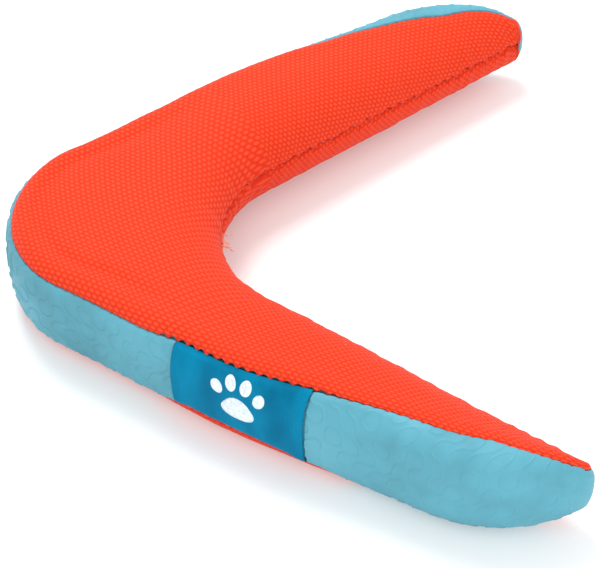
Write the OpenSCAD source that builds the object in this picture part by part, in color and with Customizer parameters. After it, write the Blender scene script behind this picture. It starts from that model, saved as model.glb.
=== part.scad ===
// Padded fetch boomerang: a V-shaped foam toy in a sewn fabric cover with a moulded rubber edge.
// X runs from the corner of the V to its tips, Y across the arms, Z up from the table.
// The origin is under the middle of the toy's box, and the flat underside lies on z = 0.

/* [Plan outline] */
// Radius of the outer corner of the V
corner_r = 45.5; // [44:0.5:48]
// Distance from the outer corner to the inner corner of the V
corner_depth = 83; // [80:1:87]
// Radius of the inner corner
crotch_r = 46.5; // [42:0.5:50]
// Radius of the bend in the outer edge before each tip
bend_r = 69; // [66:1:71]
// Angle at which the bend runs into the tip
bend_end = 70.5; // [68:0.5:72]
// X of each tip's centre, measured from the outer corner
tip_x = 206; // [203:0.2:208]
// Y of each tip's centre
tip_y = 120.2; // [118:0.2:122]
// Radius of the rounded tip
tip_r = 6; // [5:0.5:8]
// How far each arm bows outward between the corner and the bend
arm_bow = 3; // [0:0.2:3.4]

/* [Section] */
// Full thickness of the padded toy
thickness = 44; // [40:1:47]
// Share of the thickness that is left at the tips
tip_share = 0.92; // [0.84:0.02:1]
// Width over which the outer edge rounds off
rim_w = 13.4; // [12:0.2:15]
// Roundness of the outer edge
rim_power = 2.7; // [2.2:0.05:3]
// Width over which the inner edge rounds off along the arms
inner_w = 27; // [25:1:35]
// Width over which the inner edge rounds off at the tips
inner_w_tip = 32; // [28:1:33]
// Roundness of the inner edge
inner_power = 2.1; // [2:0.05:3]

/* [Rubber edge] */
// Distance of the seam from the outer edge along the arms
seam_in = 3.8; // [3.2:0.2:5]
// Distance of the seam from the outer edge at the bends, where the rubber is widest
seam_in_bend = 14.5; // [12:0.5:15.5]
// Distance of the seam from the outer edge at the tips
seam_in_tip = 2.6; // [2.4:0.2:4]
// Thickness of the rubber
rubber_t = 3.2; // [2.8:0.1:4]
// Width of the sewing flange under the fabric
flange_w = 8; // [6:0.5:9]

/* [Fabric] */
// Thickness of the fabric covers
cover_t = 1.2; // [1:0.1:1.4]
// Depth of the shallow furrow where the flange ends
furrow = 0.8; // [0:0.1:1]
// Height of the closing seam above the middle of the inner edge
closing_rise = 2; // [1:0.5:4]

/* [Label] */
// Start of the label band, measured along the outer edge from the corner
band_from = 99; // [92:1:104]
// Length of the label band along the edge
band_len = 55; // [46:1:60]
// Thickness of the label band
band_t = 0.8; // [0.6:0.1:1]

/* [Thread] */
// Thread thickness
thread_d = 0.7; // [0.5:0.1:0.7]
// Distance from stitch to stitch
stitch_pitch = 4; // [4:0.5:6]
// Length of each stitch
stitch_len = 2.6; // [2:0.2:3]

/* [Hidden] */
// Gap kept between pieces
gap = 0.15;
// Half the width of the groove that each seam's thread lies in
groove = 0.5;
// Sizes of the loose thread ends, and of the white print above the band
loose_end = 2.5;
print_t = 0.3;
print_gap = 0.15;
// Stations in the outer corner, the straight arm, the bend and the tip
n_corner = 8;
n_arm = 8;
n_bend = 8;
n_tip = 3;
// Points across each cover, the rubber between its seams, and the label band
n_across = 11;
n_edge = 8;
n_band = 16;
// Points round an oval of the print, and facets of a thread
n_oval = 18;
n_thread = 24;
// Shares of the way to the tip at which the wide rubber bulb starts and is full
bulb_from = 0.45;
bulb_full = 0.85;
// Share of the way to the tip from which the seam runs back out to the edge
seam_back = 0.88;
// Shares of the way to the tip between which the inner rounding changes
inner_from = 0.6;
inner_full = 0.95;
// Share of each arm that has the furrow, its width, and its distance from the flange
furrow_share = 0.4;
furrow_w = 3;
furrow_out = 2;
// Most of a section's width that the visible rubber, and the rubber with its flange, may take
seam_share = 0.45;
flange_share = 0.7;
// Width of the step from the flange to the visible rubber
lip = 0.2;
// Values of g where the foam starts and ends, and the rise of its step beside the flange
foam_from = 0.06;
foam_to = 0.97;
foam_step = 0.05;
// Step in g for finding the skin's direction
g_step = 0.004;
// Depth of the flange and of the rubber's inner wall below the outer surface
flange_off = cover_t + gap;
wall_off = flange_off + rubber_t - cover_t;
// Width left at the last section of each tip
end_w = 8;
// Widths of the narrowest sections that have full-thickness layers, and that hold foam
full_w = 18;
foam_end_w = 15;
// Length of inner edge over which the last sections fan out
fan_len = 6;
// Depth of each thread's middle below the outer surface
thread_off = 0.95;
// Height on the outer edge that goes with one unit of g
g_scale = 95;

// Small helpers
function unit(v) = v / norm(v);
function lerp(a, b, f) = a + (b - a) * f;
function clamp(x) = min(max(x, 0), 1);
function smooth(x) = clamp(x) * clamp(x) * (3 - 2 * clamp(x));
function ray(a) = [cos(a), sin(a)];
function arc_len(r, a) = r * a * PI / 180;

// Circle centres of the plan outline, for the arm on the +Y side
corner_c = [corner_r, 0];
crotch_c = [corner_depth + crotch_r, 0];
tip_c = [tip_x, tip_y];
bend_c = tip_c - (bend_r - tip_r) * ray(bend_end);

// The outer edge of the arm runs between the corner and bend circles
arm_v = bend_c - corner_c;
arm_a = atan2(arm_v[1], arm_v[0]) + asin((bend_r - corner_r) / norm(arm_v)) + 90;
arm_start = corner_c + corner_r * ray(arm_a);
arm_end = bend_c + bend_r * ray(arm_a);

// The straight inner edge touches the crotch and tip circles
inner_v = tip_c - crotch_c;
inner_a = atan2(inner_v[1], inner_v[0]) - asin((crotch_r + tip_r) / norm(inner_v));
inner_start = crotch_c + crotch_r * ray(inner_a + 90);
inner_end = tip_c + tip_r * ray(inner_a - 90);

// Lengths along the outer edge up to the end of each stretch
tip_turn = bend_end - (inner_a - 90) - 2 * asin(end_w / (2 * tip_r));
to_arm = arc_len(corner_r, 180 - arm_a);
to_bend = to_arm + norm(arm_end - arm_start);
to_tip = to_bend + arc_len(bend_r, arm_a - bend_end);
to_end = to_tip + arc_len(tip_r, tip_turn);

// Direction from the arc's centre, and point, on the outer edge at distance s from the corner
function outer_a(s) =
    s < to_arm ? 180 - (180 - arm_a) * s / to_arm :
    s < to_bend ? arm_a :
    s < to_tip ? arm_a - (arm_a - bend_end) * (s - to_bend) / (to_tip - to_bend) :
    bend_end - tip_turn * (s - to_tip) / (to_end - to_tip);
function bowed(f) = lerp(arm_start, arm_end, f) + arm_bow * smooth(2 * min(f, 1 - f)) * ray(arm_a);
function outer_p(s) =
    s < to_arm ? corner_c + corner_r * ray(outer_a(s)) :
    s < to_bend ? bowed((s - to_arm) / (to_bend - to_arm)) :
    s < to_tip ? bend_c + bend_r * ray(outer_a(s)) :
    tip_c + tip_r * ray(outer_a(s));

// Point, and direction out of the fabric, on the inner edge at distance s from the crotch
len_crotch = arc_len(crotch_r, 90 - inner_a);
len_inner = len_crotch + norm(inner_end - inner_start);
function inner_out(s) = s < len_crotch ? ray(-(90 - inner_a) * s / len_crotch) : ray(inner_a - 90);
function inner_p(s) =
    s < len_crotch ? crotch_c - crotch_r * inner_out(s) :
    lerp(inner_start, inner_end, (s - len_crotch) / (len_inner - len_crotch));

// Each section runs square to the straight inner edge, and fans out round the crotch and the tip
function foot(s) = len_crotch + (outer_p(s) - inner_start) * ray(inner_a);
meet_s = to_arm + (inner_start - arm_start) * ray(inner_a) / cos(arm_a - 90 - inner_a);
function inner_s(s) =
    s < meet_s ? len_crotch * s / meet_s :
    min(foot(s), len_inner - fan_len * (to_end - s) / (to_end - to_bend));

// A section: outer point, direction inward, width, slant at both edges, share of the way to the tip
function section(s) =
    let (
        o = outer_p(s),
        i = inner_p(inner_s(s)),
        w = unit(i - o),
        slant_in = foot(s) > len_inner ? 1 : w * inner_out(inner_s(s))
    )
    [o, w, norm(i - o), -(w * ray(outer_a(s))), slant_in, s / to_end];

// Sizes that change along the arm, k being the share of the way to the tip
function to_bulb(k) = smooth((k - bulb_from) / (bulb_full - bulb_from));
function seam_at(k) = lerp(
    lerp(seam_in, seam_in_bend, to_bulb(k)),
    seam_in_tip,
    smooth((k - seam_back) / (1 - seam_back))
);
function inner_w_at(k) =
    lerp(inner_w, inner_w_tip, clamp((k - inner_from) / (inner_full - inner_from)));
function half_t_at(k) = thickness / 2 * lerp(1, tip_share, to_bulb(k));

// Height of a rounding that starts at zero on the edge and is full at distance w
function rounding(d, w, power) = d >= w ? 1 : pow(1 - pow(1 - max(d, 0) / w, power), 1 / power);

// Half the height of the section at a share v of its width
function furrow_at(c, d) =
    furrow * smooth(2 * (1 - c[5] / furrow_share))
        * exp(-pow((d - seam_at(c[5]) - flange_w - furrow_out) / furrow_w, 2));
function half_h(c, v) =
    let (d = v * c[2] * c[3])
    half_t_at(c[5]) * rounding(d, rim_w, rim_power)
        * rounding((1 - v) * c[2] * c[4], inner_w_at(c[5]), inner_power)
        - furrow_at(c, d);

// The outer skin of a section. g runs 0 to 1 over the top, outer edge to inner edge,
// 1 to 2 back along the underside, and -1 to 0 is the same underside again.
function g_of(c, d) = acos(1 - 2 * clamp(d / (c[2] * c[3]))) / 180;
function seam_d(c) = min(seam_at(c[5]), seam_share * c[2] * c[3]);
function skin_dz(c, g) =
    let (v = (1 - cos(180 * g)) / 2)
    [v * c[2], half_t_at(c[5]) + (sin(180 * g) < 0 ? -1 : 1) * half_h(c, v)];
function skin_offset(c, g, off) =
    let (t = unit(skin_dz(c, g + g_step) - skin_dz(c, g - g_step)))
    skin_dz(c, g) + off * [t[1], -t[0]];
function place(c, p, side) =
    [c[0][0] + p[0] * c[1][0] - middle_x, side * (c[0][1] + p[0] * c[1][1]), p[1]];
function skin(c, g, off, side) = place(c, skin_offset(c, g, off * min(1, c[2] / full_w)), side);

// Where the closing seam stands on the inner edge
function closing_g(c, rise) =
    let (
        e = pow(clamp(rise / (half_t_at(c[5]) * rounding(c[2] * c[3], rim_w, rim_power))), inner_power)
            / inner_power * inner_w_at(c[5])
    )
    1 - acos(1 - 2 * clamp(e / (c[2] * c[4]))) / 180;

// Distances along the outer edge at which the sections stand, and the sections
stops = concat(
    [for (i = [0:n_corner - 1]) to_arm * i / n_corner],
    [for (i = [0:n_arm - 1]) lerp(to_arm, to_bend, i / n_arm)],
    [for (i = [0:n_bend - 1]) lerp(to_bend, to_tip, i / n_bend)],
    [for (i = [0:n_tip]) lerp(to_tip, to_end, i / n_tip)]
);
sections = [for (s = stops) section(s)];
n_last = len(stops) - 1;
n_full = max([for (i = [0:n_last]) if (sections[i][2] > full_w) i]);
n_foam = max([for (i = [0:n_last]) if (sections[i][2] > foam_end_w) i]);
middle_x = max([for (c = sections) c[0][0]]) / 2;

// Rings of points, one for each section from the -Y tip to the +Y tip, up to section n
function both_arms(n) = [for (i = [-n:n]) [sections[abs(i)], i < 0 ? -1 : 1]];

// A solid lofted through closed rings. The first half of each ring faces the second half read backwards.
module loft(rings) {
    n = len(rings[0]);
    m = len(rings);
    half = n / 2;
    last = (m - 1) * n;
    polyhedron(
        points = [for (r = rings) each r],
        faces = concat(
            [for (i = [0:half - 2]) each [
                [i, i + 1, n - 1 - i],
                [i + 1, n - 2 - i, n - 1 - i]
            ]],
            [for (j = [0:m - 2]) for (i = [0:n - 1])
                let (a = j * n + i, b = j * n + (i + 1) % n)
                each [[a, a + n, b], [b, a + n, b + n]]],
            [for (i = [0:half - 2]) each [
                [last + i, last + n - 1 - i, last + i + 1],
                [last + i + 1, last + n - 1 - i, last + n - 2 - i]
            ]]
        )
    );
}

// A ring of skin points between two values of g, from depth off_a out to depth off_b
function band_ring(c, side, g0, g1, off_a, off_b, n) = concat(
    [for (i = [0:n]) skin(c, lerp(g0, g1, i / n), off_a, side)],
    [for (i = [n:-1:0]) skin(c, lerp(g0, g1, i / n), off_b, side)]
);

function spread(g0, g1, n) = [for (i = [0:n]) lerp(g0, g1, i / n)];

// Floating foam filling
module foam_core() {
    color("wheat")
    loft([for (r = both_arms(n_foam))
        let (
            c = r[0],
            gs = spread(foam_from, foam_to, n_across),
            g_end = g_of(c, seam_d(c) + flange_w),
            depth = [for (g = gs) lerp(wall_off, flange_off, smooth((g - g_end) / foam_step)) + gap]
        )
        concat(
            [for (i = [0:n_across]) skin(c, gs[i], depth[i], r[1])],
            [for (i = [n_across:-1:0]) skin(c, -gs[i], depth[i], r[1])]
        )
    ]);
}

// Moulded rubber strip round the outer edge and tips, with a flange under each cover
module rubber_edge() {
    color("skyblue")
    loft([for (r = both_arms(n_last))
        let (
            c = r[0],
            s = seam_d(c),
            g1 = g_of(c, s - groove + lip),
            g2 = g_of(c, min(s + flange_w, flange_share * c[2] * c[3])),
            flange = [g1, (g1 + g2) / 2, g2],
            edge = spread(-1, 1, n_edge) * g_of(c, s - groove),
            g = concat([for (i = [2:-1:0]) -flange[i]], edge, flange),
            last = len(g) - 1,
            off = [for (i = [0:last]) i < 3 || i > last - 3 ? flange_off : 0]
        )
        concat(
            [for (i = [0:last]) skin(c, g[i], off[i], r[1])],
            [for (i = [last:-1:0]) skin(c, g[i], wall_off, r[1])]
        )
    ]);
}

// Fabric over the upper side, from the rubber to the closing seam
module top_cover() {
    color("orangered")
    loft([for (r = both_arms(n_last))
        let (c = r[0])
        band_ring(c, r[1], g_of(c, seam_d(c) + groove), closing_g(c, closing_rise + groove),
            0, cover_t, n_across)
    ]);
}

// Fabric under the foam, wrapped up the inner edge to the closing seam
module bottom_cover() {
    color("orangered")
    loft([for (r = both_arms(n_last))
        let (c = r[0])
        band_ring(c, r[1], closing_g(c, closing_rise - groove), 2 - g_of(c, seam_d(c) + groove),
            0, cover_t, n_across)
    ]);
}

// Section number, with its fraction, at distance s along the outer or the inner edge.
// Both are below zero on the -Y arm.
stop_table = [for (i = [0:n_last]) [stops[i], i]];
inner_table = [for (i = [0:n_last]) [inner_s(stops[i]), i]];
function number_at(s, table = stop_table) = s < 0 ? -lookup(-s, table) : lookup(s, table);

// Points of a ring on a fractional section, taken straight between its two neighbours
function between(q, a, b) = [for (i = [0:len(a) - 1]) lerp(a[i], b[i], q - floor(q))];
function whole(i) = sections[min(abs(i), n_last)];
function side_of(i) = i < 0 ? -1 : 1;

// The teal band lies on the rubber of the -Y arm from seam to seam
function label_ring(i) =
    let (c = whole(i), g = g_of(c, seam_d(c) - groove))
    band_ring(c, -1, -g, g, -gap - band_t, -gap, n_band);
module label_band() {
    from = -number_at(band_from + band_len);
    to = -number_at(band_from);
    color("teal")
    loft([for (q = concat([from], [for (i = [ceil(from):floor(to)]) i], [to]))
        between(q, label_ring(floor(q)), label_ring(floor(q) + 1))
    ]);
}

// A flat print on the band: an oval with its centre at distance s and g, sizes in mm along and up
module print_oval(s, up, along, high) {
    n = n_oval;
    low = -gap - band_t - print_gap;
    function spot(q, g, off) =
        between(q, [skin(whole(floor(q)), g, off, -1)], [skin(whole(floor(q) + 1), g, off, -1)])[0];
    function oval(r, a, off) =
        spot(-number_at(s + r * along / 2 * cos(a)), (up + r * high / 2 * sin(a)) / g_scale, off);
    function layer(off) = concat(
        [oval(0, 0, off)],
        [for (i = [0:n - 1]) oval(0.5, 360 * i / n, off)],
        [for (i = [0:n - 1]) oval(1, 360 * i / n, off)]
    );
    m = 2 * n + 1;
    polyhedron(
        points = concat(layer(low - print_t), layer(low)),
        faces = [for (i = [0:n - 1])
            let (a = 1 + i, b = 1 + (i + 1) % n)
            each [
                [0, b, a],
                [a, b, b + n],
                [a, b + n, a + n],
                [m, m + a, m + b],
                [m + a, m + b + n, m + b],
                [m + a, m + a + n, m + b + n],
                [a + n, b + n, m + b + n],
                [a + n, m + b + n, m + a + n]
            ]]
    );
}

// White paw print in the middle of the band: the pad, then four toes as [along, up, width, height]
paw = [
    [0, -3, 11, 8.5],
    [-7, 3.2, 3.8, 5.2],
    [-2.6, 6, 3.8, 5.6],
    [2.6, 6, 3.8, 5.6],
    [7, 3.2, 3.8, 5.2]
];
module label_print() {
    color("white")
    for (p = paw)
        print_oval(band_from + band_len / 2 + p[0], p[1], p[2], p[3]);
}

// One straight stitch or thread end
module thread(a, b) {
    v = b - a;
    translate(a)
    rotate([0, acos(v[2] / norm(v)), atan2(v[1], v[0])])
    cylinder(h = norm(v), d = thread_d, $fn = n_thread);
}

// A row of stitches lying in a seam's groove. kind is 1 for the top edge, -1 for the bottom edge,
// and 0 for the closing seam on the inner edge.
function seam_point(i, kind) =
    let (c = whole(i))
    skin(c, kind == 0 ? closing_g(c, closing_rise) : kind * g_of(c, seam_d(c)), thread_off, side_of(i));
function on_seam(s, kind) =
    let (q = number_at(s, kind == 0 ? inner_table : stop_table), i = floor(q))
    lerp(seam_point(i, kind), seam_point(i + 1, kind), q - i);
module stitch_row(kind, s_last) {
    n = floor(s_last / stitch_pitch);
    color("chocolate")
    for (i = [-n:n]) {
        middle = i * stitch_pitch;
        thread(on_seam(middle - stitch_len / 2, kind), on_seam(middle + stitch_len / 2, kind));
    }
}
module top_edge_stitches() {
    stitch_row(1, stops[n_full]);
}
module bottom_edge_stitches() {
    stitch_row(-1, stops[n_full]);
}
module closing_stitches() {
    stitch_row(0, inner_s(stops[n_full]));
}

// Loose thread ends where the closing seam turns the inner corner
module crotch_threads() {
    color("lightsalmon")
    for (i = [0:3]) {
        s = (i - 1.5) * stitch_pitch;
        a = on_seam(s, 0);
        thread(a, a + [loose_end + i % 2, s / (2 * loose_end), i % 3 - 1]);
    }
}

foam_core();
rubber_edge();
top_cover();
bottom_cover();
label_band();
label_print();
top_edge_stitches();
bottom_edge_stitches();
closing_stitches();
crotch_threads();
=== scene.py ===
"""Padded fetch boomerang: fabric covers over foam, with a moulded rubber edge sewn between them.

All lengths in the shape code are millimetres in the frame of the CAD model. s is the distance along the
outer edge from the corner of the V, below zero on the -Y arm. g runs round a section: 0 on the outer edge,
1 on the inner edge, over the top between them and under the toy where g is below 0 or above 1.
"""

import math

import bpy
import numpy as np
from mathutils import Matrix, Vector


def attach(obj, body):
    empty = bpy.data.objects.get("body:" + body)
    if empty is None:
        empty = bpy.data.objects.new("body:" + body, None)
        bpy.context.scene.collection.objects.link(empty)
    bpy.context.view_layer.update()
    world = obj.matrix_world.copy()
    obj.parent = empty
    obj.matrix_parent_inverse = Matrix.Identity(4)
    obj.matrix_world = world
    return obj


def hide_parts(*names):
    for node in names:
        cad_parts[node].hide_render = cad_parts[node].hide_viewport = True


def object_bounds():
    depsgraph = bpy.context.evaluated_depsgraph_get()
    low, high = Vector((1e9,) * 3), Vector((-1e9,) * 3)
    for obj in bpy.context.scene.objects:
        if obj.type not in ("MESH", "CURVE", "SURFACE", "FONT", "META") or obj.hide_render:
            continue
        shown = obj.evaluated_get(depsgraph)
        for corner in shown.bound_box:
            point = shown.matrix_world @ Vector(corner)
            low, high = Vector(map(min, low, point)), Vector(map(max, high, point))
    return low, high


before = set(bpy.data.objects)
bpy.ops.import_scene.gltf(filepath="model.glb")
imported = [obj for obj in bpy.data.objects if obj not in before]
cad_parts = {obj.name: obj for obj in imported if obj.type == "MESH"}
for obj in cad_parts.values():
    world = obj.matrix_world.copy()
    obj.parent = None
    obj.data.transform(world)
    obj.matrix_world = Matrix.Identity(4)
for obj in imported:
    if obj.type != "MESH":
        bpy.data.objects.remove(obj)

cad_box = [list(corner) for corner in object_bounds()]
MM = 0.001

# ---------------------------------------------------------------- plan and section of the toy
CORNER_R, CORNER_DEPTH, CROTCH_R = 45.5, 83.0, 46.5
BEND_R, BEND_END, BOW = 69.0, math.radians(70.5), 3.0
TIP, TIP_R, END_W = np.array([206.0, 120.2]), 6.0, 8.0
NOSE_TURN = 0.12
THICK, TIP_SHARE = 44.0, 0.92
RIM_W, RIM_P = 13.4, 2.7
INNER_W, INNER_W_TIP, INNER_P = 27.0, 32.0, 2.1
SEAM, SEAM_BEND, SEAM_TIP = 3.8, 14.5, 2.6
NEAR_PULL, FAR_PULL, LOW_SHARE = 1.1, 1.9, 0.6
FURROW = 1.5
FLANGE = 8.0
COVER_T, RUBBER_T = 1.0, 3.35
RISE = 2.0
BAND_FROM, BAND_LEN = 99.0, 55.0
STITCH, CLOSING_STITCH, THREAD_R = 4.3, 4.2, 0.24
FULL_W = 18.0
WEAVE_TURN = math.radians(64)
FAN = 6.0


def ray(a):
    return np.stack([np.cos(a), np.sin(a)], -1)


def lerp(a, b, f):
    return a + (b - a) * f


def smooth(x):
    x = np.clip(x, 0, 1)
    return x * x * (3 - 2 * x)


def bell(x):
    return np.exp(-x * x)


corner_c = np.array([CORNER_R, 0.0])
crotch_c = np.array([CORNER_DEPTH + CROTCH_R, 0.0])
bend_c = TIP - (BEND_R - TIP_R) * ray(BEND_END)
arm_v = bend_c - corner_c
ARM_A = math.atan2(*arm_v[::-1]) + math.asin((BEND_R - CORNER_R) / np.linalg.norm(arm_v)) + math.pi / 2
arm_start, arm_end = corner_c + CORNER_R * ray(ARM_A), bend_c + BEND_R * ray(ARM_A)
inner_v = TIP - crotch_c
INNER_A = math.atan2(*inner_v[::-1]) - math.asin((CROTCH_R + TIP_R) / np.linalg.norm(inner_v))
inner_start = crotch_c + CROTCH_R * ray(INNER_A + math.pi / 2)
inner_end = TIP + TIP_R * ray(INNER_A - math.pi / 2)
full_turn = BEND_END - (INNER_A - math.pi / 2)
cad_turn = full_turn - 2 * math.asin(END_W / (2 * TIP_R))
TO_ARM = CORNER_R * (math.pi - ARM_A)
TO_BEND = TO_ARM + np.linalg.norm(arm_end - arm_start)
TO_TIP = TO_BEND + BEND_R * (ARM_A - BEND_END)
TO_END = TO_TIP + TIP_R * cad_turn
TO_NOSE = TO_TIP + TIP_R * (full_turn - NOSE_TURN)
LEN_CROTCH = CROTCH_R * (math.pi / 2 - INNER_A)
LEN_INNER = LEN_CROTCH + np.linalg.norm(inner_end - inner_start)
MEET_S = TO_ARM + (inner_start - arm_start) @ ray(INNER_A) / math.cos(ARM_A - math.pi / 2 - INNER_A)
MIDDLE_X = -cad_box[0][0] / MM


def outer(s):
    """Points on the outer edge, and the direction from the arc's centre to each."""
    turn = np.interp(
        s,
        [0, TO_ARM, TO_BEND, TO_TIP, TO_NOSE],
        [math.pi, ARM_A, ARM_A, BEND_END, BEND_END - full_turn + NOSE_TURN],
    )
    f = ((s - TO_ARM) / (TO_BEND - TO_ARM))[:, None]
    at = [
        corner_c + CORNER_R * ray(turn),
        lerp(arm_start, arm_end, f) + BOW * smooth(2 * np.minimum(f, 1 - f)) * ray(ARM_A),
        bend_c + BEND_R * ray(turn),
        TIP + TIP_R * ray(turn),
    ]
    part = np.digitize(s, [TO_ARM, TO_BEND, TO_TIP])
    return np.choose(part[:, None], at), turn


def inner(s):
    """Points on the inner edge, and the direction out of the fabric there."""
    turn = -(math.pi / 2 - INNER_A) * np.clip(s / LEN_CROTCH, 0, 1)
    f = ((s - LEN_CROTCH) / (LEN_INNER - LEN_CROTCH))[:, None]
    line = lerp(inner_start, inner_end, f)
    return np.where(s[:, None] < LEN_CROTCH, crotch_c - CROTCH_R * ray(turn), line), ray(turn)


class Cuts:
    """Cross sections at distances s along the outer edge."""

    def __init__(self, s):
        self.s = np.asarray(s, float)
        a = np.abs(self.s)
        self.side = np.where(self.s < 0, -1.0, 1.0)
        self.o, turn = outer(a)
        foot = LEN_CROTCH + (self.o - inner_start) @ ray(INNER_A)
        fan = LEN_INNER - FAN * np.clip((TO_END - a) / (TO_END - TO_BEND), 0, None)
        self.along_inner = np.where(a < MEET_S, LEN_CROTCH * a / MEET_S, np.minimum(foot, fan))
        i, out = inner(self.along_inner)
        across = i - self.o
        self.W = np.maximum(np.linalg.norm(across, axis=1), 0.3)
        self.w = across / self.W[:, None]
        self.so = np.clip(-(self.w * ray(turn)).sum(1), 0.2, 1)
        self.si = np.where(foot > LEN_INNER, 1, np.clip((self.w * out).sum(1), 0.2, 1))
        self.k = np.minimum(a / TO_END, 1)
        self.bulb = smooth((self.k - 0.45) / 0.4)
        self.half_t = THICK / 2 * lerp(1, TIP_SHARE, self.bulb)
        self.seam = lerp(lerp(SEAM, SEAM_BEND, self.bulb), SEAM_TIP, smooth((self.k - 0.88) / 0.12))
        self.seam = np.minimum(self.seam, 0.45 * self.W * self.so)
        self.inner_w = lerp(INNER_W, INNER_W_TIP, np.clip((self.k - 0.6) / 0.35, 0, 1))
        self.thin = np.minimum(1, self.W / FULL_W)

    def g_of(self, d):
        """g of the point on top that is d inside the outer edge."""
        return np.arccos(1 - 2 * np.clip(d / (self.W * self.so), 0, 1)) / math.pi

    def closing_g(self, rise):
        """g of the point that stands rise above the middle of the inner edge."""
        rim = rounding(self.W * self.so, RIM_W, RIM_P)
        e = np.clip(rise / (self.half_t * rim), 0, 1) ** INNER_P / INNER_P * self.inner_w
        return 1 - np.arccos(1 - 2 * np.clip(e / (self.W * self.si), 0, 1)) / math.pi

    def dz(self, g):
        """Distance in from the outer edge, and height."""
        col = lambda x: x[:, None]
        v = (1 - np.cos(math.pi * g)) / 2
        d = v * col(self.W * self.so)
        half = col(self.half_t) * rounding(d, RIM_W, RIM_P)
        half = half * rounding((1 - v) * col(self.W * self.si), col(self.inner_w), INNER_P)
        trough = smooth(2 - col(self.k) * 5) * bell((d - col(self.seam) - FLANGE - 2) / 3.2)
        half = half - FURROW * trough * (np.sin(math.pi * g) > 0)
        return v * col(self.W), col(self.half_t) + np.where(np.sin(math.pi * g) < 0, -1, 1) * half

    def skin(self, g):
        """Points on the outer skin."""
        d, z = self.dz(g)
        x = self.o[:, :1] + d * self.w[:, :1] - MIDDLE_X
        y = self.side[:, None] * (self.o[:, 1:] + d * self.w[:, 1:])
        return np.stack([x, y, z], -1)

    def run(self, g0, g1, n):
        """n values of g evenly spaced along the skin from g0 to g1, and the length run at each."""
        g = lerp(g0[:, None], g1[:, None], np.linspace(0, 1, 240))
        d, z = self.dz(g)
        length = np.cumsum(np.hypot(np.diff(d, axis=1), np.diff(z, axis=1)), axis=1)
        length = np.concatenate([np.zeros((len(g), 1)), length], axis=1)
        want = length[:, -1:] * np.linspace(0, 1, n)
        return np.stack([np.interp(*row) for row in zip(want, length, g)]), want


def rounding(d, w, power):
    q = np.clip(1 - d / w, 0, 1)
    return (1 - q**power) ** (1 / power)


def outward(points):
    """Unit normals of a grid of skin points, pointing out of the toy."""
    n = np.cross(np.gradient(points, axis=0), np.gradient(points, axis=1))
    n /= np.maximum(np.linalg.norm(n, axis=-1, keepdims=True), 1e-9)
    lift = (n * (points - points.mean(axis=1, keepdims=True))).sum()
    return n * (1 if lift > 0 else -1)


# ---------------------------------------------------------------- meshes and materials
def put(name, points, faces, flat, material):
    """A smooth mesh piece from points in mm, with flat cloth coordinates as its UV."""
    mesh = bpy.data.meshes.new(name)
    mesh.from_pydata((points * MM).tolist(), [], [tuple(f) for f in faces])
    mesh.polygons.foreach_set("use_smooth", [True] * len(mesh.polygons))
    layer = mesh.uv_layers.new(name="flat")
    corners = np.empty(len(mesh.loops), int)
    mesh.loops.foreach_get("vertex_index", corners)
    layer.data.foreach_set("uv", (flat[corners] * 0.01).ravel())
    mesh.materials.append(material)
    mesh.update()
    piece = bpy.data.objects.new(name, mesh)
    bpy.context.scene.collection.objects.link(piece)
    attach(piece, "root")
    return piece


def shell(name, top, bottom, flat, material, inner_points=24):
    """A closed piece between a fine outer grid and an inner grid, which keeps only a few columns."""
    m, n = top.shape[:2]
    keep = np.linspace(n - 1, 0, inner_points).round().astype(int)
    points = np.concatenate([top, bottom[:, keep]], axis=1)
    ring = points.shape[1]
    a = (np.arange(m - 1)[:, None] * ring + np.arange(ring)[None]).ravel()
    b = (np.arange(m - 1)[:, None] * ring + (np.arange(ring)[None] + 1) % ring).ravel()
    sides = np.stack([a, b, b + ring, a + ring], -1)
    points = points.reshape(-1, 3)
    p = points[sides[:, :3]]
    faces = sides.tolist()
    faces += [list(range(ring))[::-1], list(range((m - 1) * ring, m * ring))]
    if (p[:, 0] * np.cross(p[:, 1], p[:, 2])).sum() < 0:
        faces = [face[::-1] for face in faces]
    both = np.concatenate([flat, flat[:, keep]], axis=1).reshape(-1, 2)
    return put(name, points, faces, both, material)


def tube(path, radius, sides=6):
    """Points and faces of a round thread along path, with closed ends. Each end point is a cap."""
    path = np.asarray(path, float)
    t = np.gradient(path, axis=0)
    t /= np.linalg.norm(t, axis=1, keepdims=True)
    up = np.array([0.31, 0.17, 0.93])
    u = np.cross(t, up)
    u /= np.linalg.norm(u, axis=1, keepdims=True)
    v = np.cross(t, u)
    turn = 2 * math.pi * np.arange(sides) / sides
    r = radius * np.concatenate([[0.55], np.ones(len(path) - 2), [0.55]])
    ring = np.cos(turn)[None, :, None] * u[:, None] + np.sin(turn)[None, :, None] * v[:, None]
    points = (path[:, None] + r[:, None, None] * ring).reshape(-1, 3)
    faces = []
    for j in range(len(path) - 1):
        for i in range(sides):
            a, b = j * sides + i, j * sides + (i + 1) % sides
            faces.append((a, b, b + sides, a + sides))
    last = (len(path) - 1) * sides
    faces.append(tuple(range(sides))[::-1])
    faces.append(tuple(range(last, last + sides)))
    return points, faces


def threads(name, paths, radius, material):
    """One piece made of many short threads."""
    points, faces, flat = [], [], []
    start = 0
    for path in paths:
        p, f = tube(path, radius)
        points.append(p)
        faces += [tuple(i + start for i in face) for face in f]
        run = np.linspace(0, 3, len(path)).repeat(len(p) // len(path))
        flat.append(np.stack([run, np.zeros(len(p))], -1))
        start += len(p)
    return put(name, np.concatenate(points), faces, np.concatenate(flat), material)


def linear(r, g, b):
    """Scene colour of an sRGB colour given in 0 to 255."""
    c = np.array([r, g, b]) / 255
    c = np.where(c <= 0.04045, c / 12.92, ((c + 0.055) / 1.055) ** 2.4)
    return (*[float(x) for x in c], 1.0)


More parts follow.
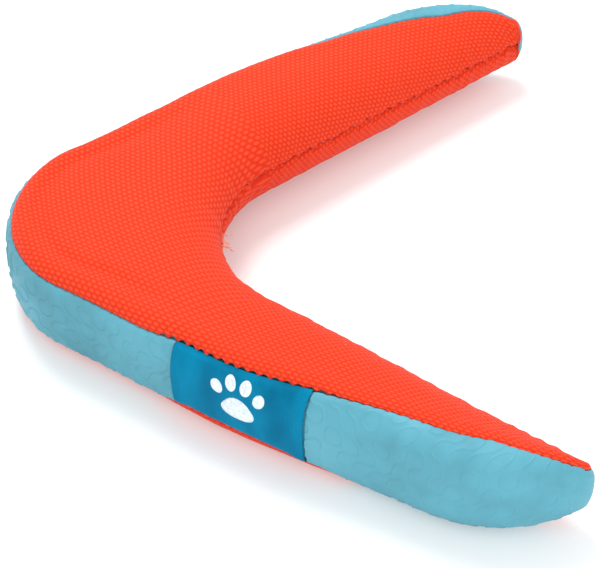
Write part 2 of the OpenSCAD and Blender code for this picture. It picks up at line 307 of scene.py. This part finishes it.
class Graph:
    """Short names for building a material's nodes."""

    def __init__(self, name):
        self.material = bpy.data.materials.new(name)
        self.material.use_nodes = True
        self.tree = self.material.node_tree
        self.tree.nodes.clear()
        self.shader = self.node("ShaderNodeBsdfPrincipled")
        out = self.node("ShaderNodeOutputMaterial")
        self.link(self.shader.outputs[0], out.inputs[0])

    def node(self, kind, **values):
        made = self.tree.nodes.new(kind)
        for key, value in values.items():
            setattr(made, key, value)
        return made

    def link(self, a, b):
        self.tree.links.new(a, b)

    def math(self, operation, *values):
        made = self.node("ShaderNodeMath", operation=operation)
        for socket, value in zip(made.inputs, values):
            if isinstance(value, (int, float)):
                socket.default_value = value
            else:
                self.link(value, socket)
        return made.outputs[0]

    def flat(self):
        """Flat cloth coordinates in mm."""
        split = self.node("ShaderNodeSeparateXYZ")
        self.link(self.node("ShaderNodeUVMap", uv_map="flat").outputs[0], split.inputs[0])
        return self.math("MULTIPLY", split.outputs[0], 100.0), self.math("MULTIPLY", split.outputs[1], 100.0)

    def noise(self, scale, detail=2.0, stretch=None):
        """Noise over object space. scale is in cells per metre."""
        made = self.node("ShaderNodeTexNoise")
        made.inputs["Scale"].default_value = scale
        made.inputs["Detail"].default_value = detail
        place = self.node("ShaderNodeTexCoord").outputs["Object"]
        if stretch:
            grow = self.node("ShaderNodeMapping")
            grow.inputs["Scale"].default_value = stretch
            self.link(place, grow.inputs[0])
            place = grow.outputs[0]
        self.link(place, made.inputs["Vector"])
        return made.outputs["Fac"]

    def ramp(self, value, *stops):
        made = self.node("ShaderNodeValToRGB")
        self.link(value, made.inputs[0])
        ramp = made.color_ramp
        while len(ramp.elements) < len(stops):
            ramp.elements.new(0.5)
        for element, (at, colour) in zip(ramp.elements, stops):
            element.position = at
            element.color = colour
        return made.outputs[0]

    def blend(self, factor, a, b, mode="MIX"):
        made = self.node("ShaderNodeMix", data_type="RGBA", blend_type=mode)
        for socket, value in ((made.inputs[0], factor), (made.inputs[6], a), (made.inputs[7], b)):
            if isinstance(value, (int, float, tuple)):
                socket.default_value = value
            else:
                self.link(value, socket)
        return made.outputs[2]

    def bump(self, height, distance, strength=1.0, before=None):
        made = self.node("ShaderNodeBump")
        made.inputs["Distance"].default_value = distance
        made.inputs["Strength"].default_value = strength
        self.link(height, made.inputs["Height"])
        if before is not None:
            self.link(before, made.inputs["Normal"])
        return made.outputs[0]

    def finish(self, colour, roughness, normal, **constants):
        self.link(colour, self.shader.inputs["Base Color"])
        if isinstance(roughness, float):
            self.shader.inputs["Roughness"].default_value = roughness
        else:
            self.link(roughness, self.shader.inputs["Roughness"])
        if normal is not None:
            self.link(normal, self.shader.inputs["Normal"])
        for key, value in constants.items():
            self.shader.inputs[key.replace("_", " ")].default_value = value
        return self.material


def weave(name, deep, body, top, pitch=1.57, bead=2.41, depth=0.00022):
    """Coarse basket weave: columns of round thread floats, each column half a float out of step. Its colour
    has painted shade in the gaps and a painted highlight on the float crowns.
    """
    m = Graph(name)
    x, y = m.flat()
    column = m.math("DIVIDE", x, pitch)
    number = m.math("FLOOR", column)
    across = m.math("SUBTRACT", m.math("SUBTRACT", column, number), 0.5)
    shift = m.math("MULTIPLY", m.math("FLOORED_MODULO", number, 2.0), 0.5)
    row = m.math("ADD", m.math("DIVIDE", y, bead), shift)
    along = m.math("SUBTRACT", m.math("FRACT", row), 0.5)
    dome = m.math("COSINE", m.math("MULTIPLY", across, math.pi))
    swell = m.math("COSINE", m.math("MULTIPLY", along, math.pi))
    height = m.math("MULTIPLY", m.math("POWER", m.math("ABSOLUTE", dome), 0.8), swell)
    strand = m.math("SINE", m.math("MULTIPLY", x, 2 * math.pi / 0.33))
    fuzz = m.noise(2600, 3.0)
    fine = m.math("ADD", m.math("MULTIPLY", strand, 0.035), m.math("MULTIPLY", fuzz, 0.25))
    # painted shade in the gaps between floats and a painted highlight on their crowns, from the weave height
    colour = m.ramp(height, (0.0, deep), (0.42, body), (0.8, top), (1.0, top))
    colour = m.blend(m.math("MULTIPLY", m.noise(45, 3.0), 0.35), colour, body)
    colour = m.blend(0.16, colour, m.ramp(fuzz, (0.35, deep), (0.65, top)))
    relief = m.math("ADD", height, fine)
    rough = m.math("ADD", 0.62, m.math("MULTIPLY", fuzz, 0.25))
    return m.finish(
        colour, rough, m.bump(relief, depth),
        Specular_IOR_Level=0.16, Sheen_Weight=0.04, Sheen_Roughness=0.5,
    )


def rubber(name, low, body, high):
    """Matte moulded rubber with faint mottling, fine grain and a few scuffs."""
    m = Graph(name)
    broad, grain = m.noise(38, 3.0), m.noise(1500, 2.0)
    scuff = m.noise(420, 4.0, (1.0, 1.0, 4.0))
    colour = m.ramp(broad, (0.3, low), (0.5, body), (0.72, high))
    colour = m.blend(m.math("MULTIPLY", m.math("GREATER_THAN", scuff, 0.735), 0.35), colour, low)
    rough = m.math("ADD", 0.46, m.math("MULTIPLY", grain, 0.18))
    relief = m.math("ADD", grain, m.math("MULTIPLY", broad, 0.5))
    return m.finish(colour, rough, m.bump(relief, 0.00006), Specular_IOR_Level=0.35)


def ribbon(name, deep, body, high):
    """Fine stretch webbing with ribs across it, with painted shade in the rib hollows and a painted
    highlight on the rib tops.
    """
    m = Graph(name)
    x, y = m.flat()
    rib = m.math("SINE", m.math("MULTIPLY", x, 2 * math.pi / 0.55))
    weft = m.math("SINE", m.math("MULTIPLY", y, 2 * math.pi / 0.7))
    height = m.math("ADD", m.math("MULTIPLY", rib, 0.5), m.math("MULTIPLY", weft, 0.3))
    broad, fuzz = m.noise(60, 3.0, (1.0, 1.0, 0.4)), m.noise(2400, 2.0)
    colour = m.ramp(broad, (0.32, deep), (0.5, body), (0.68, high))
    # painted shade and painted highlight from the rib height
    shade = m.ramp(height, (0.0, deep), (0.6, high))
    colour = m.blend(0.16, colour, shade)
    relief = m.math("ADD", height, m.math("MULTIPLY", fuzz, 0.6))
    rough = m.math("ADD", 0.6, m.math("MULTIPLY", fuzz, 0.2))
    return m.finish(colour, rough, m.bump(relief, 0.00008), Specular_IOR_Level=0.06)


def ink(name, body, worn):
    """Printed ink, a little worn in scattered spots, with the ribs below it showing as bumps."""
    m = Graph(name)
    x, _ = m.flat()
    rib = m.math("SINE", m.math("MULTIPLY", x, 2 * math.pi / 0.55))
    fuzz = m.noise(900, 4.0)
    colour = m.ramp(fuzz, (0.4, body), (0.72, worn))
    relief = m.math("ADD", m.math("MULTIPLY", rib, 0.4), fuzz)
    rough = m.math("ADD", 0.5, m.math("MULTIPLY", fuzz, 0.2))
    return m.finish(colour, rough, m.bump(relief, 0.00008))


def twine(name, body, deep):
    """Twisted sewing thread."""
    m = Graph(name)
    x, _ = m.flat()
    twist = m.math("SINE", m.math("MULTIPLY", x, 2 * math.pi / 0.5))
    fuzz = m.noise(3000, 2.0)
    colour = m.blend(m.math("MULTIPLY", fuzz, 0.6), body, deep)
    rough = m.math("ADD", 0.5, m.math("MULTIPLY", fuzz, 0.3))
    return m.finish(colour, rough, m.bump(m.math("ADD", twist, fuzz), 0.0001), Sheen_Weight=0.2)


def foam_look(name, body, pore_shade):
    """Open foam with fine pores, painted darker in the pore hollows as shade."""
    m = Graph(name)
    cells = m.node("ShaderNodeTexVoronoi")
    cells.inputs["Scale"].default_value = 900
    m.link(m.node("ShaderNodeTexCoord").outputs["Object"], cells.inputs["Vector"])
    size = cells.outputs["Distance"]
    colour = m.ramp(size, (0.0, pore_shade), (0.4, body))
    rough = m.math("ADD", 0.85, m.math("MULTIPLY", size, 0.1))
    return m.finish(colour, rough, m.bump(size, 0.0004))


ORANGE = weave("orange_weave", linear(200, 34, 10), linear(216, 50, 18), linear(232, 76, 38))
# The lower cover's copy of the orange weave, painted a little darker as shade for the side that faces down.
ORANGE_UNDER_SHADED = weave("orange_weave_under_shaded", linear(198, 34, 10), linear(214, 49, 18), linear(230, 73, 35))
BLUE = rubber("light_blue_rubber", linear(74, 140, 156), linear(82, 154, 172), linear(90, 162, 180))
TEAL = ribbon("teal_ribbon", linear(0, 100, 136), linear(0, 120, 158), linear(0, 136, 176))
WHITE = ink("white_ink", linear(226, 232, 236), linear(190, 208, 216))
EDGE_THREAD = twine("blue_thread", linear(60, 110, 134), linear(30, 64, 92))
ORANGE_THREAD = twine("orange_thread", linear(240, 80, 50), linear(190, 40, 20))
PALE_THREAD = twine("pale_thread", linear(250, 176, 150), linear(240, 120, 90))
FOAM = foam_look("foam", linear(238, 226, 196), linear(214, 198, 160))

# ---------------------------------------------------------------- cloth relief
rng = np.random.default_rng(11)


def waves(x, y, size, seed, count=7):
    """Smooth noise from -1 to 1 with features of about this size."""
    pick = np.random.default_rng(seed)
    total = np.zeros(np.broadcast(x, y).shape)
    for _ in range(count):
        turn, phase = pick.uniform(0, 2 * math.pi, 2)
        k = 2 * math.pi / size * pick.uniform(0.6, 1.5)
        total = total + np.sin(k * (x * math.cos(turn) + y * math.sin(turn)) + phase)
    return total / count * 1.6


def tooth(s, pitch=STITCH, sharp=3.0):
    """1 at each stitch and 0 half way between stitches."""
    return ((1 + np.cos(2 * math.pi * s / pitch)) / 2) ** sharp


def pucker(s, seed, size=5.0):
    """Uneven ripples along s."""
    return np.sin(2 * math.pi * s / size + 2.2 * waves(s, s * 0, 34, seed)) * (
        0.65 + 0.5 * waves(s, s * 0, 21, seed + 1)
    )


def low_seam(c):
    """How far the lower seam stands in from the outer edge. It is nearer the edge beside the band."""
    near = smooth((-c.s - 82) / 22) * smooth((186 + c.s) / 26)
    return c.seam * (1 - LOW_SHARE * near)


def top_seam(c):
    """How far the upper seam stands in from the outer edge. The cover pulls over the edge in two places."""
    near = smooth((c.s + 105) / 25) * smooth((15 - c.s) / 25)
    far = smooth((c.s - 95) / 45) * smooth((205 - c.s) / 25)
    return c.seam - NEAR_PULL * near - FAR_PULL * far


# The pressed shape of the covers, from a cloth simulation of the whole filled skin
GRID_S, GRID_G = 121, 60
PRESS_FRAMES = 20


def simulate():
    """Fine creases of the filled cover, as heights over a grid of s by share of the way round."""
    s = np.linspace(-TO_NOSE, TO_NOSE, GRID_S)
    c = Cuts(s)
    one = np.ones(GRID_S)
    g, _ = c.run(-one, one, GRID_G + 1)
    g = g[:, :-1]
    points = c.skin(g)
    n = GRID_G
    a = (np.arange(GRID_S - 1)[:, None] * n + np.arange(n)[None]).ravel()
    b = (np.arange(GRID_S - 1)[:, None] * n + (np.arange(n)[None] + 1) % n).ravel()
    faces = [tuple(f) for f in np.stack([a, b, b + n, a + n], -1)]
    faces += [tuple(range(n))[::-1], tuple(range((GRID_S - 1) * n, GRID_S * n))]
    p = points.reshape(-1, 3)
    q = np.array([p[list(f[:3])] for f in faces[:-2]])
    if (q[:, 0] * np.cross(q[:, 1], q[:, 2])).sum() < 0:
        faces = [f[::-1] for f in faces]
    mesh = bpy.data.meshes.new("press")
    mesh.from_pydata((p * MM * 10).tolist(), [], faces)
    body = bpy.data.objects.new("press", mesh)
    bpy.context.scene.collection.objects.link(body)
    hold = body.vertex_groups.new(name="hold")
    edge = np.abs(g) < (c.g_of(c.seam) + 0.01)[:, None]
    closing = np.abs(g - c.closing_g(RISE)[:, None]) < 0.02
    ends = np.repeat((np.abs(s) > TO_TIP - 4)[:, None], n, axis=1)
    resting = points[..., 2] < 1.5
    held = (edge | closing | ends | resting).ravel()
    hold.add([int(i) for i in np.flatnonzero(held)], 1.0, "REPLACE")
    cloth = body.modifiers.new("cloth", "CLOTH").settings
    cloth.quality = 6
    cloth.mass = 0.3
    cloth.tension_stiffness = cloth.compression_stiffness = 30
    cloth.shear_stiffness = 12
    cloth.bending_stiffness = 0.6
    cloth.use_pressure = True
    cloth.uniform_pressure_force = 4
    cloth.shrink_min = -0.035
    cloth.vertex_group_mass = "hold"
    cloth.effector_weights.gravity = 0
    scene = bpy.context.scene
    for number in range(1, PRESS_FRAMES + 1):
        scene.frame_set(number)
    moved = body.evaluated_get(bpy.context.evaluated_depsgraph_get()).data
    after = np.empty(len(p) * 3)
    moved.vertices.foreach_get("co", after)
    after = after.reshape(points.shape) / (MM * 10)
    bpy.data.objects.remove(body)
    bpy.data.meshes.remove(mesh)
    scene.frame_set(1)
    height = ((after - points) * outward(points)).sum(-1)
    height = np.clip(np.nan_to_num(height), -6, 6)
    wide = np.ones(17) / 17
    padded = np.pad(height, ((8, 8), (0, 0)), mode="edge")
    swell = np.stack([np.convolve(padded[:, i], wide, mode="valid") for i in range(n)], 1)
    return np.clip(height - swell, -1.6, 1.6)


def spread(field, c, g):
    """The simulated heights at each point, by smooth interpolation over the coarse grid."""
    coarse = Cuts(np.linspace(-TO_NOSE, TO_NOSE, GRID_S))
    one = np.ones(GRID_S)
    gs, _ = coarse.run(-one, one, GRID_G + 1)
    at = np.interp(c.s, coarse.s, np.arange(GRID_S))
    j = np.clip(np.floor(at).astype(int), 1, GRID_S - 3)
    f = (at - j)[:, None]
    turn = np.where(g > 1, g - 2, g)
    column = np.stack([np.interp(turn[i], gs[j[i]], np.arange(GRID_G + 1)) for i in range(len(j))])
    i0 = np.floor(column).astype(int)
    u = column - i0

    def cubic(a, b, c_, d, t):
        return b + 0.5 * t * (c_ - a + t * (2 * a - 5 * b + 4 * c_ - d + t * (3 * (b - c_) + d - a)))

    def row(jj):
        pick = lambda k: field[jj[:, None], (i0 + k) % GRID_G]
        return cubic(pick(-1), pick(0), pick(1), pick(2), u)

    return cubic(row(j - 1), row(j), row(j + 1), row(j + 2), f)


creases = simulate()

# ---------------------------------------------------------------- the covers
def cover(name, c, g0, g1, n, from_seam, from_closing, flat_of, thick, material):
    """A fabric cover between two sewn edges that dip into their seams."""
    g, run = c.run(g0, g1, n)
    points = c.skin(g)
    normal = outward(points)
    thin = c.thin[:, None]
    a, b = from_seam(run), from_closing(run)
    s = np.broadcast_to(c.s[:, None], a.shape)
    at_inner = np.broadcast_to((c.side * c.along_inner)[:, None], a.shape)
    height = 0.16 * waves(points[..., 0], points[..., 1], 26, 3)
    height = height - (0.45 + 0.35 * tooth(s)) * bell(a / 0.9) + 0.45 * bell((a - 4.5) / 3.2)
    height = height - 0.16 * np.cos(2 * math.pi * s / STITCH) * np.exp(-a / 3.0)
    deep = 1 + 1.3 * smooth((np.abs(at_inner) - LEN_INNER + 42) / 26)
    height = height + 0.42 * deep * pucker(at_inner, 5, 6.2) * np.exp(-b / 8) * (1 - np.exp(-b / 2))
    height = height + 0.3 * pucker(at_inner, 8, 13.0) * np.exp(-b / 20) * (1 - np.exp(-b / 3))
    height = height - 1.3 * bell(b / 1.0)
    if creases is not None:
        height = height + 0.8 * spread(creases, c, g) * smooth(a / 4) * smooth(b / 3)
    points = points + normal * (height * thin)[..., None]
    points[..., 2] = np.maximum(points[..., 2], 0.25)
    inside = points - normal * (thick * thin)[..., None]
    inside[..., 2] = np.maximum(inside[..., 2], 0.25 + 0.6 * thick * thin)
    flat = flat_of(c, g, run)
    x, y = flat[..., 0] - 0.0016 * flat[..., 1] ** 2, flat[..., 1]
    turned = np.stack([x, y], -1) @ np.stack([ray(WEAVE_TURN), ray(WEAVE_TURN + math.pi / 2)], 1)
    return shell(name, points, inside, turned, material)


def over(c, g, run):
    """Flat coordinates of the upper cover, measured in from the outer edge."""
    start = c.run(g[:, 0] * 0, g[:, 0], 3)[1][:, -1:]
    length = start + run
    x = c.o[:, :1] + length * c.w[:, :1]
    y = c.side[:, None] * (c.o[:, 1:] + length * c.w[:, 1:])
    return np.stack([x, y], -1)


def under(c, g, run):
    """Flat coordinates of the lower cover, measured in from the outer edge."""
    end = c.run(g[:, -1] * 0, 2 - g[:, -1], 3)[1][:, -1:]
    length = end + run[:, -1:] - run
    x = c.o[:, :1] + length * c.w[:, :1]
    y = c.side[:, None] * (c.o[:, 1:] + length * c.w[:, 1:])
    return np.stack([x, y], -1)


def closing_wave(c):
    """The closing seam steps up and down from stitch to stitch, by this many mm."""
    t = c.side * c.along_inner / 6.0 + 0.35 * waves(c.s, c.s * 0, 40, 21)
    f = t - np.floor(t)
    step = np.minimum(f, (1 - f) * 2.2) - 0.33
    return (step * 2.2 + 0.5 * waves(c.s, c.s * 0, 9, 22)) * c.thin


stations = np.linspace(-TO_NOSE, TO_NOSE, 601)
c = Cuts(stations)
beside_band = smooth((-c.s - 88) / 8) * smooth((166 + c.s) / 8)
opening = (0.25 + 0.75 * beside_band) * (1 - tooth(c.s, sharp=1.6))
g_seam = c.g_of(top_seam(c) - 0.3 + opening)
g_close = c.closing_g(RISE + 0.25 + closing_wave(c))
top_fabric = cover(
    "top_fabric", c, g_seam, g_close, 110,
    lambda run: run, lambda run: run[:, -1:] - run, over, COVER_T, ORANGE,
)
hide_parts("top_cover")

g_low_close = c.closing_g(RISE - 0.25 + closing_wave(c))
g_low = 2 - c.g_of(low_seam(c) - 0.2 + opening * 0.6)
bottom_fabric = cover(
    "bottom_fabric", c, g_low_close, g_low, 110,
    lambda run: run[:, -1:] - run, lambda run: run, under, COVER_T, ORANGE_UNDER_SHADED,
)
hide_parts("bottom_cover")


# ---------------------------------------------------------------- the rubber edge
TILE_S, TILE_T = 6.6, 7.8
LINE_HALF_W, LINE_H = 0.34, 0.42


def raised_lines(s, t):
    """Raised lines that wander over the rubber in loops and bends, from 0 to 1.

    Every tile holds two quarter circles round two opposite corners, so the lines run on from tile to tile.
    """
    x = (s + 1.2 * np.sin(2 * math.pi * t / 23 + 0.6)) / TILE_S
    y = (t + 1.1 * np.sin(2 * math.pi * s / 31 + 1.1)) / TILE_T + 0.5
    i, j = np.floor(x), np.floor(y)
    u, v = x - i, y - j
    u = np.where(np.sin(2.3 * i + 4.1 * j + 1.7 * np.sin(1.3 * i)) > 0, u, 1 - u)
    ring = np.minimum(np.abs(np.hypot(u, v) - 0.5), np.abs(np.hypot(1 - u, 1 - v) - 0.5))
    return bell(ring * (TILE_S + TILE_T) / 2 / LINE_HALF_W)


def rubber_edge():
    s = np.linspace(-TO_NOSE, TO_NOSE, 2001)
    c = Cuts(s)
    width = c.W * c.so
    top, low = top_seam(c) - 0.1, low_seam(c) - 0.1
    g_top = c.g_of(np.minimum(top + FLANGE, 0.6 * width))
    g, run = c.run(-c.g_of(np.minimum(low + FLANGE, 0.6 * width)), g_top, 180)
    points = c.skin(g)
    normal = outward(points)
    lines = c.run(-c.g_of(low), c.g_of(top), 3)[1][:, -1:]
    under_top = c.run(c.g_of(top), g_top, 3)[1][:, -1:]
    under_low = run[:, -1:] - lines - under_top
    middle = run - under_low - lines / 2
    ss = np.broadcast_to(s[:, None], run.shape)
    edge = lines / 2 - np.abs(middle)
    fade = smooth((edge - 1.2) / 1.6) * smooth((c.W[:, None] - 6) / 8)
    free = 1 - smooth((-ss - BAND_FROM + 0.6) / 0.6) * smooth((BAND_FROM + BAND_LEN + 0.6 + ss) / 0.6)
    height = LINE_H * raised_lines(ss, middle) * fade * (1 - 0.3 * c.bulb[:, None])
    height = height + 0.22 * bell((edge - 2.4) / 1.5) - 0.25 * tooth(ss) * bell((edge - 0.5) / 1.2)
    height = height + 0.1 * waves(ss, middle, 30, 41) * smooth(edge / 3)
    height = height * free - (0.45 + 1.1 * smooth((3 - edge) / 2)) * (1 - free)
    height = height - 2.25 * smooth((0.6 - edge + 0.2 * tooth(ss)) / 0.9)
    outside = points + normal * (height * c.thin[:, None])[..., None]
    outside[..., 2] = np.maximum(outside[..., 2], 0.05)
    inside = points - normal * (RUBBER_T * c.thin[:, None])[..., None]
    inside[..., 2] = np.maximum(inside[..., 2], 0.6)
    flat = np.stack([ss, middle], -1)
    piece = shell("rubber_edge_skin", outside, inside, flat, BLUE)
    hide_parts("rubber_edge")
    return piece


rubber_edge()


# ---------------------------------------------------------------- foam, band, print and threads
def foam_pad():
    c = Cuts(np.linspace(-236, 236, 237))
    one = np.ones(len(c.s))
    g, run = c.run(one * 0.03, one * 0.985, 60)
    lower, _ = c.run(-one * 0.03, -one * 0.985, 60)
    grids = []
    for way in (g, lower):
        p = c.skin(way)
        n = outward(p)
        depth = np.where(np.abs(way) < (c.g_of(c.seam + FLANGE))[:, None], 3.7, 2.3)
        depth = depth + 0.25 * waves(p[..., 0], p[..., 1], 18, 51)
        p = p - n * (depth * c.thin[:, None])[..., None]
        p[..., 2] = np.maximum(p[..., 2], 1.9)
        grids.append(p)
    flat = np.stack([np.broadcast_to(c.s[:, None], run.shape), run], -1)
    piece = shell("foam_pad", grids[0], grids[1], flat, FOAM)
    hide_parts("foam_core")


foam_pad()


def label_band():
    s = np.linspace(-BAND_FROM - BAND_LEN, -BAND_FROM, 141)
    c = Cuts(s)
    g, run = c.run(-c.g_of(low_seam(c) - 0.1), c.g_of(top_seam(c) - 0.1), 121)
    points = c.skin(g)
    normal = outward(points)
    ss = np.broadcast_to(s[:, None], run.shape)
    edge = np.minimum(run[:, -1:] - run, run)
    ends = np.minimum(ss - s[0], s[-1] - ss)
    fold = 0.22 * (1 - smooth((ends - 4.2) / 0.8))
    crease = 0.42 * pucker(ss + 0.06 * run, 61, 13.0) * (0.4 + 0.6 * smooth((run - 10) / 20))
    height = 0.55 + fold + crease - 0.9 * bell(edge / 1.6) - 0.3 * tooth(ss) * bell(edge / 1.6)
    height = height + 0.12 * waves(ss, run, 16, 62)
    height = np.maximum(height, 0.5 - 1.3 * bell(edge / 1.3))
    outside = points + normal * height[..., None]
    inside = points + normal * (height - 0.5)[..., None]
    flat = np.stack([ss, run], -1)
    piece = shell("label_sleeve", outside, inside, flat, TEAL)
    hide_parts("label_band")
    return s, run, outside, normal


band = label_band()


def paw_print(band):
    """A paw print in ink on the band, as five thin ovals."""
    s, run, surface, normal = band
    mid_s, mid_run = s.mean() - 1.0, run[0, -1] * 0.5

    def spot(x, y):
        i = np.interp(mid_s + x, s, np.arange(len(s)))
        j = np.interp(mid_run + y, run[len(s) // 2], np.arange(run.shape[1]))
        i0 = np.clip(np.floor(i).astype(int), 0, len(s) - 2)
        j0 = np.clip(np.floor(j).astype(int), 0, run.shape[1] - 2)
        fi, fj = (i - i0)[..., None], (j - j0)[..., None]

        def pick(field):
            a = lerp(field[i0, j0], field[i0 + 1, j0], fi)
            b = lerp(field[i0, j0 + 1], field[i0 + 1, j0 + 1], fi)
            return lerp(a, b, fj)

        return pick(surface), pick(normal)

    ovals = [(0, -4.2, 13.2, 10.6, 0.0), (-8.6, 3.7, 4.5, 6.4, 0.35), (-3.1, 7.4, 4.5, 6.9, 0.1),
             (3.1, 7.4, 4.5, 6.9, -0.1), (8.6, 3.7, 4.5, 6.4, -0.35)]
    points, faces, flat = [], [], []
    start = 0
    rings, sides = 9, 40
    for x0, y0, wide, high, lean in ovals:
        turn = 2 * math.pi * np.arange(sides) / sides
        r = np.linspace(0.04, 1, rings)[:, None]
        bx = wide / 2 * (1 + 0.1 * (wide > 8) * np.cos(3 * turn + math.pi / 2)) * np.cos(turn)
        by = high / 2 * (1 + 0.1 * (wide > 8) * np.cos(3 * turn + math.pi / 2)) * np.sin(turn)
        x = x0 + r * (bx * math.cos(lean) - by * math.sin(lean))
        y = y0 + r * (bx * math.sin(lean) + by * math.cos(lean))
        p, n = spot(x, y)
        rise = 0.16 * np.sqrt(np.clip(1.02 - r**4, 0, 1))[..., None]
        upper, lower = p + n * (0.05 + rise), p - n * 0.1
        count = rings * sides
        both = np.concatenate([upper.reshape(-1, 3), lower.reshape(-1, 3)])
        for k in range(sides):
            nxt = (k + 1) % sides
            for j in range(rings - 1):
                a, b = j * sides + k, j * sides + nxt
                faces.append((start + a, start + b, start + b + sides, start + a + sides))
                low = (start + count + a + sides, start + count + b + sides,
                       start + count + b, start + count + a)
                faces.append(low)
            a, b = (rings - 1) * sides + k, (rings - 1) * sides + nxt
            faces.append((start + a, start + b, start + count + b, start + count + a))
        faces.append(tuple(start + k for k in range(sides))[::-1])
        faces.append(tuple(start + count + k for k in range(sides)))
        points.append(both)
        xy = np.stack([x, y], -1).reshape(-1, 2)
        flat += [xy, xy]
        start += 2 * count
    piece = put("paw_print", np.concatenate(points), faces, np.concatenate(flat), WHITE)
    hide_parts("label_print")


paw_print(band)


def seam_stitches(name, node, low):
    """Short threads that cross the groove between rubber and fabric."""
    last = int((TO_TIP - 6) / STITCH)
    s = np.arange(-last, last + 1) * STITCH
    c = Cuts(s)
    seam = low_seam(c) if low else top_seam(c)
    sign = -1 if low else 1
    g = np.stack([sign * c.g_of(np.maximum(seam + x, 0.05)) for x in (-0.5, -0.25, 0.05, 0.4, 0.7)], 1)
    wide = Cuts(np.stack([s - 0.3, s + 0.3], 1).ravel())
    points = c.skin(g)
    beside = wide.skin(np.repeat(g, 2, axis=0)).reshape(len(s), 2, 5, 3)
    along = beside[:, 1] - beside[:, 0]
    across = np.gradient(points, axis=1)
    normal = np.cross(along, across)
    normal /= np.linalg.norm(normal, axis=-1, keepdims=True)
    middle = c.o + c.w * 14
    centre = np.stack([middle[:, 0] - MIDDLE_X, c.side * middle[:, 1], c.half_t], 1)
    normal *= np.sign((normal * (points - centre[:, None])).sum(-1, keepdims=True))
    depth = np.array([-1.9, -1.3, -1.1, -1.3, -1.9])[None, :, None]
    slant = np.linspace(-0.5, 0.5, 5)[None, :, None]
    unit = along / np.linalg.norm(along, axis=-1, keepdims=True)
    paths = points + normal * depth + unit * slant
    piece = threads(name, paths, THREAD_R, EDGE_THREAD)
    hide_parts(node)


seam_stitches("top_seam_threads", "top_edge_stitches", False)
seam_stitches("bottom_seam_threads", "bottom_edge_stitches", True)


def closing_threads():
    """Threads of the closing seam, lying in its groove."""
    fine = Cuts(np.linspace(-TO_TIP, TO_TIP, 1200))
    along = fine.side * fine.along_inner
    g = fine.closing_g(RISE + closing_wave(fine))[:, None]
    line = fine.skin(g)[:, 0]
    out = np.stack([fine.w[:, 0], fine.side * fine.w[:, 1], np.zeros(len(line))], 1)
    line = line - out * 1.35
    last = int((LEN_INNER - 8) / CLOSING_STITCH)
    paths = []
    for i in range(-last, last + 1):
        at = i * CLOSING_STITCH + np.linspace(-1.4, 1.4, 5)
        path = np.stack([np.interp(at, along, line[:, k]) for k in range(3)], 1)
        paths.append(path + np.outer(bell(np.linspace(-1.4, 1.4, 5)), [0, 0, 0.12]))
    piece = threads("closing_seam_threads", paths, THREAD_R, ORANGE_THREAD)
    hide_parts("closing_stitches")


closing_threads()


def frayed_ends():
    """Loose ends of thread at the inner corner, where the closing seam turns."""
    paths = []
    for i in range(13):
        at = Cuts(np.array([rng.uniform(-9, 9)]))
        base = at.skin(at.closing_g(RISE)[:, None])[0, 0] - [1.2, 0, 0]
        length, lean, drop = rng.uniform(2.5, 6.5), rng.uniform(-0.8, 0.8), rng.uniform(-0.7, 0.35)
        t = np.linspace(0, 1, 7)[:, None]
        curl = rng.uniform(-1.2, 1.2)
        path = base + t * [length, length * lean, 0] + t * t * [0, curl, length * drop]
        paths.append(path)
    piece = threads("frayed_threads", paths, 0.13, PALE_THREAD)
    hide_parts("crotch_threads")


frayed_ends()

# ---------------------------------------------------------------- floor, light and camera
floor_mesh = bpy.data.meshes.new("floor")
size = 3.0
floor_corners = [(-size, -size, 0), (size, -size, 0), (size, size, 0), (-size, size, 0)]
floor_mesh.from_pydata(floor_corners, [], [(0, 1, 2, 3)])
floor = bpy.data.objects.new("floor", floor_mesh)
bpy.context.scene.collection.objects.link(floor)
paper = bpy.data.materials.new("paper")
paper.use_nodes = True
paper.node_tree.nodes["Principled BSDF"].inputs["Base Color"].default_value = (0.8, 0.81, 0.81, 1)
paper.node_tree.nodes["Principled BSDF"].inputs["Emission Color"].default_value = (1, 1, 1, 1)
paper.node_tree.nodes["Principled BSDF"].inputs["Emission Strength"].default_value = 0.13
paper.node_tree.nodes["Principled BSDF"].inputs["Roughness"].default_value = 0.9
floor_mesh.materials.append(paper)

world = bpy.data.worlds.new("studio")
world.use_nodes = True
world.node_tree.nodes["Background"].inputs[0].default_value = (1, 1, 1, 1)
world.node_tree.nodes["Background"].inputs[1].default_value = 0.98
bpy.context.scene.world = world


def lamp(name, place, aim, power, size):
    data = bpy.data.lights.new(name, "AREA")
    data.energy, data.size = power, size
    made = bpy.data.objects.new(name, data)
    made.location = place
    made.rotation_euler = (Vector(aim) - Vector(place)).to_track_quat("-Z", "Y").to_euler()
    bpy.context.scene.collection.objects.link(made)


lamp("key", (-0.2, 0.6, 1.15), (0, 0, 0), 11, 0.5)
lamp("fill", (0.3, -1.3, 0.7), (0, 0, 0), 8, 1.2)

AZ, EL, ROLL = (math.radians(x) for x in (-0.92, 46.27, -0.82))
AIM, DISTANCE, FOCAL_PX = np.array([6.95, -14.82, 13.86]), 767.8, 1991.2
SENSOR, PICTURE_W = 36.0, 600
back = np.array([math.sin(AZ) * math.cos(EL), -math.cos(AZ) * math.cos(EL), math.sin(EL)])
right = np.cross(-back, [0, 0, 1])
right /= np.linalg.norm(right)
up = np.cross(right, -back)
right, up = right * math.cos(ROLL) + up * math.sin(ROLL), up * math.cos(ROLL) - right * math.sin(ROLL)
lens = bpy.data.cameras.new("camera")
lens.sensor_fit, lens.sensor_width, lens.lens = "HORIZONTAL", SENSOR, FOCAL_PX * SENSOR / PICTURE_W
lens.clip_start, lens.clip_end = 0.01, 20
camera = bpy.data.objects.new("camera", lens)
turn = Matrix([[*row] for row in np.stack([right, up, back], 1)]).to_4x4()
camera.matrix_world = Matrix.Translation(Vector((AIM + back * DISTANCE) * MM)) @ turn
bpy.context.scene.collection.objects.link(camera)
bpy.context.scene.camera = camera
bpy.context.scene.view_settings.view_transform = "Standard"
